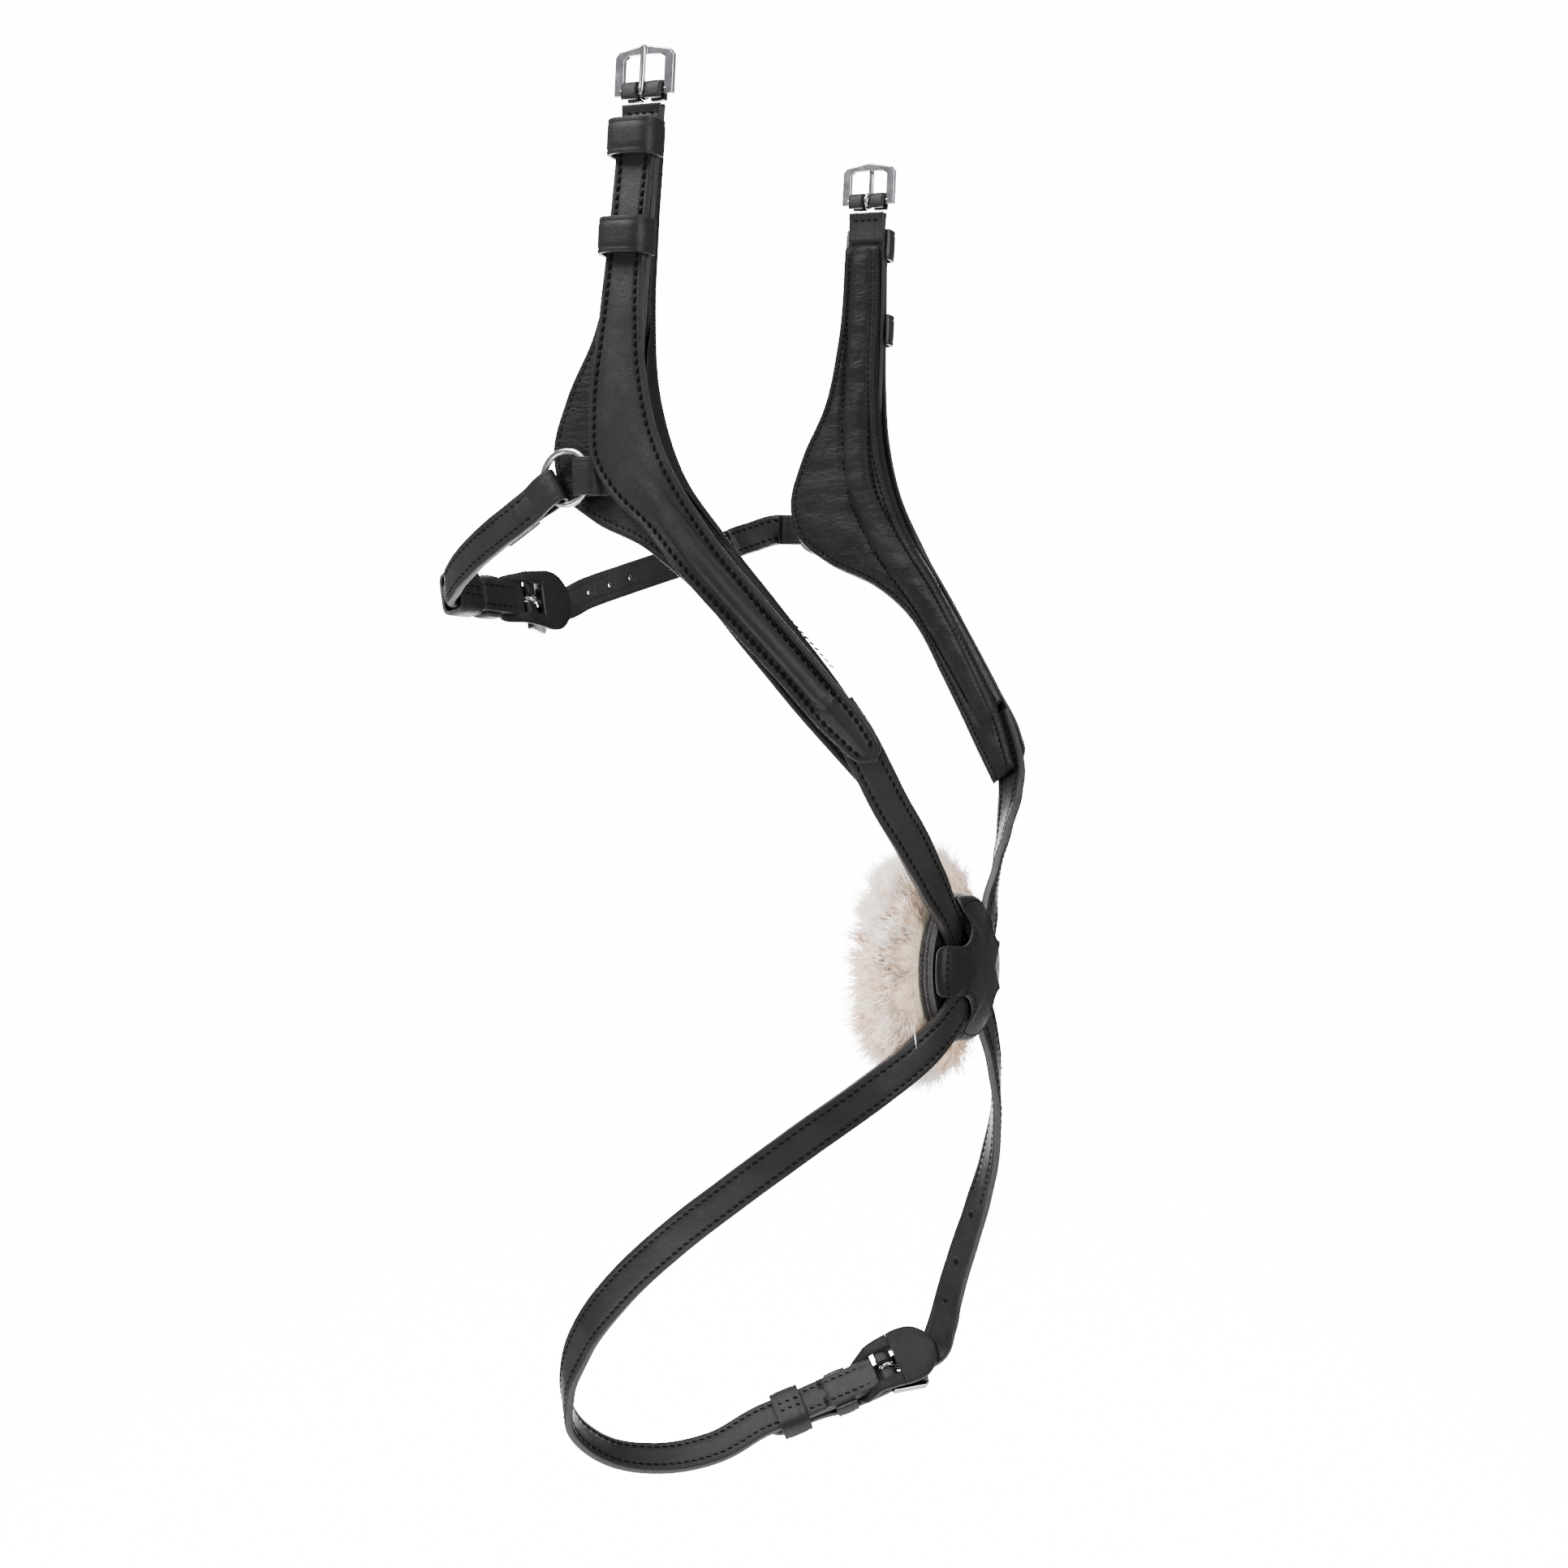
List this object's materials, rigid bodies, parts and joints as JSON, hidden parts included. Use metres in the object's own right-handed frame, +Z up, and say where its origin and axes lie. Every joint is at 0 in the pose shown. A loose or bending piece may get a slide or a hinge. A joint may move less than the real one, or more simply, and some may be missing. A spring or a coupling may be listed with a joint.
{
  "type": "crossed noseband",
  "caption": "Figure-eight noseband of padded black leather for a bridle: cheek pieces with steel buckles, crossed nose straps under a fleece-lined disc, and jaw and chin straps.",
  "frame": {"origin": "midway between the heel bars of the two top buckles, where the headpiece holds the noseband", "axes": "+X the way the horse faces, +Y the horse's left, +Z up; the noseband hangs down -Z"},
  "size_m": [0.2043, 0.223, 0.5429],
  "materials": {
    "leather": "smooth black leather, soft sheen",
    "soft_leather": "soft black lining leather over foam",
    "steel": "polished stainless steel",
    "hook_and_loop": "black woven hook and loop tape",
    "sheepskin": "undyed suede",
    "wool": "long undyed wool"
  },
  "bodies": {
    "noseband": {"cheek_right_padding": "soft_leather", "cheek_right_facing": "leather", "cheek_right_strap": "leather", "cheek_right_ring_tab": "leather", "cheek_right_upper_keeper": "leather", "cheek_right_lower_keeper": "leather", "cheek_left_padding": "soft_leather", "cheek_left_facing": "leather", "cheek_left_strap": "leather", "cheek_left_ring_tab": "leather", "cheek_left_upper_keeper": "leather", "cheek_left_lower_keeper": "leather", "nose_strap_from_right": "leather", "nose_strap_from_left": "leather", "nose_cover": "leather", "nose_base": "leather", "nose_hook_tape": "hook_and_loop", "chin_buckle": "steel", "chin_buckle_tongue": "steel", "chin_buckle_guard": "leather", "chin_keeper_fixed": "leather"},
    "right_frame": {"cheek_right_buckle": "steel"},
    "right_tongue": {"cheek_right_buckle_tongue": "steel"},
    "left_frame": {"cheek_left_buckle": "steel"},
    "left_tongue": {"cheek_left_buckle_tongue": "steel"},
    "right_ring": {"cheek_right_ring": "steel"},
    "left_ring": {"cheek_left_ring": "steel"},
    "jaw_strap": {"jaw_strap_buckle_side": "leather", "jaw_strap_billet_side": "leather", "jaw_buckle": "steel", "jaw_buckle_tongue": "steel", "jaw_buckle_guard": "leather", "jaw_keeper_fixed": "leather"},
    "jaw_keeper": {"jaw_keeper_sliding": "leather"},
    "chin_keeper": {"chin_keeper_sliding": "leather"},
    "fleece_pad": {"fleece_skin": "sheepskin", "fleece_wool": "wool", "nose_loop_tape": "hook_and_loop"}
  },
  "joints": [
    {"name": "right_frame_turn", "type": "hinge", "parent": "noseband", "child": "right_frame", "pos_m": [0, -0.096, 0], "axis": [0.9986, 0, -0.0523], "range_deg": [-40, 40]},
    {"name": "right_tongue_turn", "type": "hinge", "parent": "right_frame", "child": "right_tongue", "pos_m": [0, -0.096, 0], "axis": [0.9986, 0, -0.0523], "range_deg": [0, 70]},
    {"name": "left_frame_turn", "type": "hinge", "parent": "noseband", "child": "left_frame", "pos_m": [0, 0.096, 0], "axis": [-0.9986, 0, 0.0523], "range_deg": [-40, 40]},
    {"name": "left_tongue_turn", "type": "hinge", "parent": "left_frame", "child": "left_tongue", "pos_m": [0, 0.096, 0], "axis": [-0.9986, 0, 0.0523], "range_deg": [0, 70]},
    {"name": "right_ring_spin", "type": "hinge", "parent": "noseband", "child": "right_ring", "pos_m": [-0.028, -0.1045, -0.1398], "axis": [0, 1, 0], "continuous": true},
    {"name": "left_ring_spin", "type": "hinge", "parent": "noseband", "child": "left_ring", "pos_m": [-0.028, 0.1045, -0.1398], "axis": [0, 1, 0], "continuous": true},
    {"name": "jaw_strap_swing", "type": "hinge", "parent": "noseband", "child": "jaw_strap", "pos_m": [-0.028, 0, -0.1398], "axis": [0, 1, 0], "range_deg": [-10, 25]},
    {"name": "jaw_keeper_slide", "type": "slide", "parent": "jaw_strap", "child": "jaw_keeper", "axis": [0.17, 0.985, -0.03], "range_m": [0, 0.003]},
    {"name": "chin_keeper_slide", "type": "slide", "parent": "noseband", "child": "chin_keeper", "axis": [0.7819, 0.501, 0.371], "range_m": [-0.003, 0.008]},
    {"name": "fleece_pull_off", "type": "slide", "parent": "noseband", "child": "fleece_pad", "axis": [-1, 0, 0], "range_m": [0, 0.025]}
  ]
}
